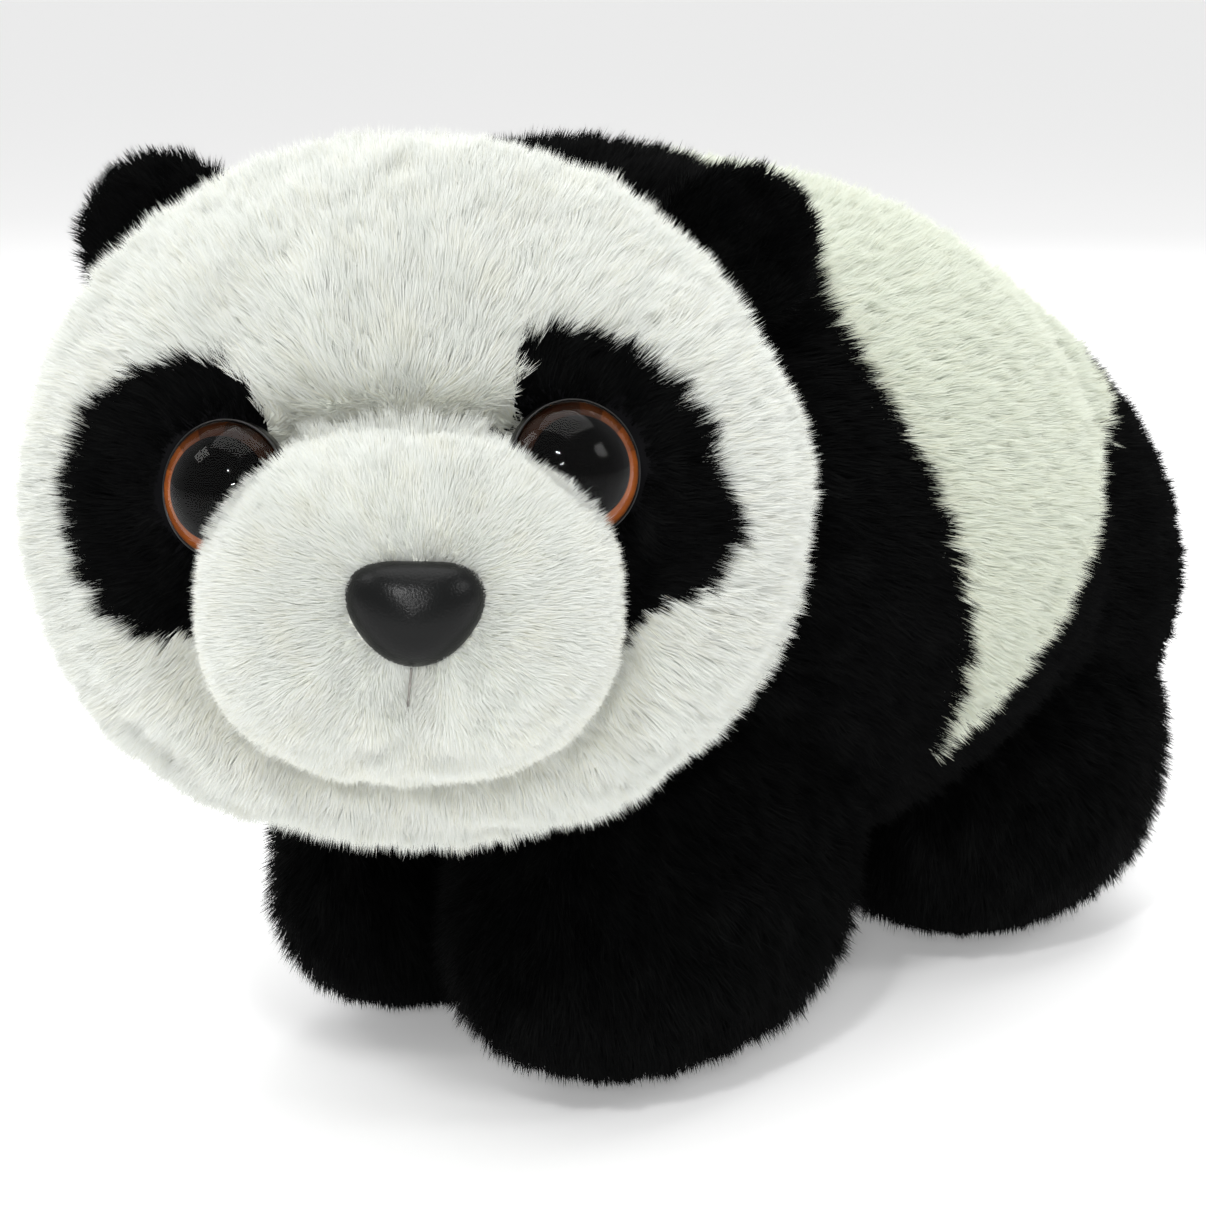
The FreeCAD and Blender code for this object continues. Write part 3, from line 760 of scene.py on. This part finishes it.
# --------------------------------------------------------------------- ears
for side in ("left", "right"):
    body = "ear_" + side
    sg = 1 if side == "left" else -1
    dd = unit(np.array(EAR_DIR[side]))
    k = 1 / math.sqrt(((dd / HEAD_R) ** 2).sum())
    nrm = unit(dd / HEAD_R ** 2)
    base = dd * k
    t = unit(np.array([-nrm[2], 0, nrm[0]]) * sg)
    f = np.cross(nrm, t)
    if f[1] > 0:
        f = -f
    d, Q = cube_sphere(20)
    # a cupped disc: thin across f, rounded rim, slightly hollow in front
    R0 = 15.6 - 2.0
    x, y, z = d[:, 0] * R0, d[:, 1] * 4.0, d[:, 2] * R0
    cup = 2.2 * (1 - (x ** 2 + z ** 2) / R0 ** 2)
    y = y - np.where(d[:, 1] > 0, 1, 1) * cup
    L = np.stack([x, y, z + 5.6], 1)
    Pe = head_to_world(base + L[:, [0]] * t + L[:, [1]] * f * 1.0 + L[:, [2]] * nrm)
    if np.linalg.det(np.stack([t, f, nrm])) < 0:
        Q = Q[:, ::-1]
    Se = Surface(Pe, Q)
    fc = d[Q].mean(1)[:, 1]
    for nm, m, node in (("front", fc > 0, "ear_%s_front" % side), ("back", fc <= 0, "ear_%s_back" % side)):
        o = skin("ear_%s_%s_skin" % (side, nm), Pe, Q, m, SKIN_BLACK, body, ())
        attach(o, body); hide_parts(node)
    P, N = Se.scatter(8.0 * DENS, r1)
    hid = inside_head(P, 1.0)
    P, N = P[~hid], N[~hid]
    lay = np.tile(HR @ nrm, (len(P), 1)) + 0.2 * r1.normal(size=(len(P), 3))
    for o in make_fur("ear_%s_pile" % side, P, N, lay, 4.6, 0.30 * WIDE, 50.0, BLACK, tints(P, r1), body, r1):
        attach(o, body)

# -------------------------------------------------------------------- trunk
d, Q = cube_sphere(64)
Pt = trunk_form(d)
St = Surface(Pt, Q)
zc = trunk_zone(Pt[Q].mean(1))
cover = inside_head(Pt, 6.0)[Q].all(1)
for z, nm, mat, nodes in ((0, "shoulder_skin", SKIN_BLACK, ("shoulder_panel", "torso_fill")), (1, "saddle_skin", SKIN_WHITE, ("saddle_panel",)), (2, "rump_skin", SKIN_BLACK, ("rump_panel",))):
    o = skin(nm, Pt, Q, (zc == z), mat, "torso", nodes)
    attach(o, "torso"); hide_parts(*nodes)
r2 = np.random.default_rng(22)
P, N = St.scatter(10.0 * DENS, r2)
hid = inside_head(P, 9.0)
for w in LEGS:
    hid |= inside_leg(w, P, 9.0)
P, N = P[~hid], N[~hid]
jit = Noise(32, 5.0, 8, 3)(P) * 0.7
zone = trunk_zone(P + jit)
white = zone == 1
thin = r2.random(len(P)) < np.where(white, 1.0, 0.53)
P, N, zone = P[thin], N[thin], zone[thin]
lay = np.tile([0.0, 1.0, -0.35], (len(P), 1))
ds = np.minimum(np.abs(P[:, 1] - seam_y(SEAM_FRONT, P[:, 2])), np.abs(P[:, 1] - seam_y(SEAM_REAR, P[:, 2])))
# painted shade: saddle strands near the seams get more of the darker, warmer tints, standing in for the shade in the
# seam creases
warm_tone_and_painted_shade = 0.22 + 0.4 * np.exp(-(ds / 5.0) ** 2)
tw, tb = tints(P, r2, warm_tone_and_painted_shade=warm_tone_and_painted_shade), tints(P, r2)
for z, nm, mats, t in ((0, "shoulder_pile", BLACK, tb), (1, "saddle_pile", CREAM, tw), (2, "rump_pile", BLACK, tb)):
    m = zone == z
    for o in make_fur(nm, P[m], N[m], lay[m], 6.0, (0.235 if z == 1 else 0.34) * WIDE, 54.0, mats, t[m], "torso", r2):
        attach(o, "torso")

# --------------------------------------------------------------------- neck
# the collar is the ring of black cloth that the head turns on
d, Q = cube_sphere(40)
dirs = d
Pc = d * 66.4
Pcw = Pc + HC
axis_out = unit(np.array([0.0, 12.5, 98.1]) - HC)
keep = (inside_trunk(Pcw, 4.0))[Q].all(1)
o = skin("neck_skin", Pcw, Q, keep, SKIN_BLACK, "neck", ())
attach(o, "neck"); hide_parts("neck_collar")

# --------------------------------------------------------------------- legs
for w in LEGS:
    body = "leg_" + w
    d, Q = cube_sphere(36)
    Pl = leg_form(w)(d)
    Sl = Surface(Pl, Q)
    c, r, _, _, _, hip = LEGS[w]
    o = skin("leg_%s_skin" % w, Pl, Q, np.ones(len(Q), bool), SKIN_BLACK, body, ())
    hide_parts("leg_%s_cover" % w, "leg_%s_fill" % w)
    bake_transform(o)
    P, N = Sl.scatter(5.0 * DENS, r2)
    hid = inside_trunk(P, 8.0) | (P[:, 2] < 4.2) | inside_head(P, 9.0)
    P, N = P[~hid], N[~hid]
    lay = np.tile([0.0, 0.15, -1.0], (len(P), 1)) + np.array([0, 1, 0]) * (P[:, [2]] > 40) * 0.4
    L = np.where(P[:, 2] < 12, 4.2, 6.0)
    for o in make_fur("leg_%s_pile" % w, P, N, lay, L, 0.34 * WIDE, 52.0, BLACK, tints(P, r2), body, r2):
        co = np.empty(len(o.data.vertices) * 3, np.float32)
        o.data.vertices.foreach_get("co", co)
        co = co.reshape(-1, 3)
        co[:, 2] = np.maximum(co[:, 2], 0.0004)
        o.data.vertices.foreach_set("co", co.ravel())
        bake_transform(o)

# -------------------------------------------------------- floor, light, view
floor_m = plain("floor_pale", (0.93, 0.93, 0.93), 0.8, 0.1)
floor_m.node_tree.nodes["Principled BSDF"].inputs["Emission Color"].default_value = (1, 1, 1, 1)
floor_m.node_tree.nodes["Principled BSDF"].inputs["Emission Strength"].default_value = 0.25
bpy.ops.mesh.primitive_plane_add(size=80, location=(0, 0, 0))
floor = bpy.context.object
floor.name = "floor"
floor.data.materials.append(floor_m)

world = bpy.data.worlds.new("studio")
bpy.context.scene.world = world
world.use_nodes = True
world.node_tree.nodes["Background"].inputs["Color"].default_value = (1, 1, 1, 1)
world.node_tree.nodes["Background"].inputs["Strength"].default_value = 0.62


def area(name, loc, target, size, power, size_y=None, color=(1, 1, 1)):
    l = bpy.data.lights.new(name, "AREA")
    l.shape = "RECTANGLE"
    l.size = size; l.size_y = size_y or size
    l.energy = power
    l.color = color
    o = bpy.data.objects.new(name, l)
    bpy.context.scene.collection.objects.link(o)
    o.location = loc
    o.rotation_euler = (Vector(target) - Vector(loc)).to_track_quat("-Z", "Y").to_euler()
    return o


# ------------------------------------------------------------------- camera
AZ, EL, DIST, F = 36.61, 11.45, 0.640, 3193.3
tgt = Vector(((-12.2 + SHIFT[0]) * MM, (0 + SHIFT[1]) * MM, 76.2 * MM))
a, e = math.radians(AZ), math.radians(EL)
dirv = Vector((math.sin(a) * math.cos(e), -math.cos(a) * math.cos(e), math.sin(e)))
cam_d = bpy.data.cameras.new("cam")
cam = bpy.data.objects.new("cam", cam_d)
bpy.context.scene.collection.objects.link(cam)
cam.location = tgt + dirv * DIST
cam.rotation_euler = (-dirv).to_track_quat("-Z", "Y").to_euler()
cam_d.sensor_fit = "HORIZONTAL"
cam_d.sensor_width = 36.0
cam_d.lens = 36.0 * F / 1206.0
cam_d.clip_start = 0.01
cam_d.clip_end = 50
cam_d.dof.use_dof = False
bpy.context.scene.camera = cam

side = dirv.cross(Vector((0, 0, 1))).normalized() * -1
upv = Vector((0, 0, 1))
c0 = tgt
SH = Vector((SHIFT[0] * MM, SHIFT[1] * MM, 0))
eye = Vector((0.03, -0.15, 0.12)) + SH
area("lamp_high", Vector((0.416, -0.919, 0.832)) + SH, eye, 0.10, 4.5, 0.08)
area("lamp_front", Vector((0.643, -1.001, 0.498)) + SH, eye, 0.09, 2.3, 0.07)
area("window_left", Vector((-0.554, -0.647, 0.924)) + SH, eye, 0.34, 1.6)
area("window_right", Vector((0.967, 0.148, 0.723)) + SH, eye, 0.34, 2.0)
area("back", Vector((-0.55, 1.1, 0.9)) + SH, c0, 0.9, 4.0)
area("top", c0 + upv * 1.3, c0, 1.2, 9.5)

bpy.context.scene.view_settings.view_transform = "Standard"
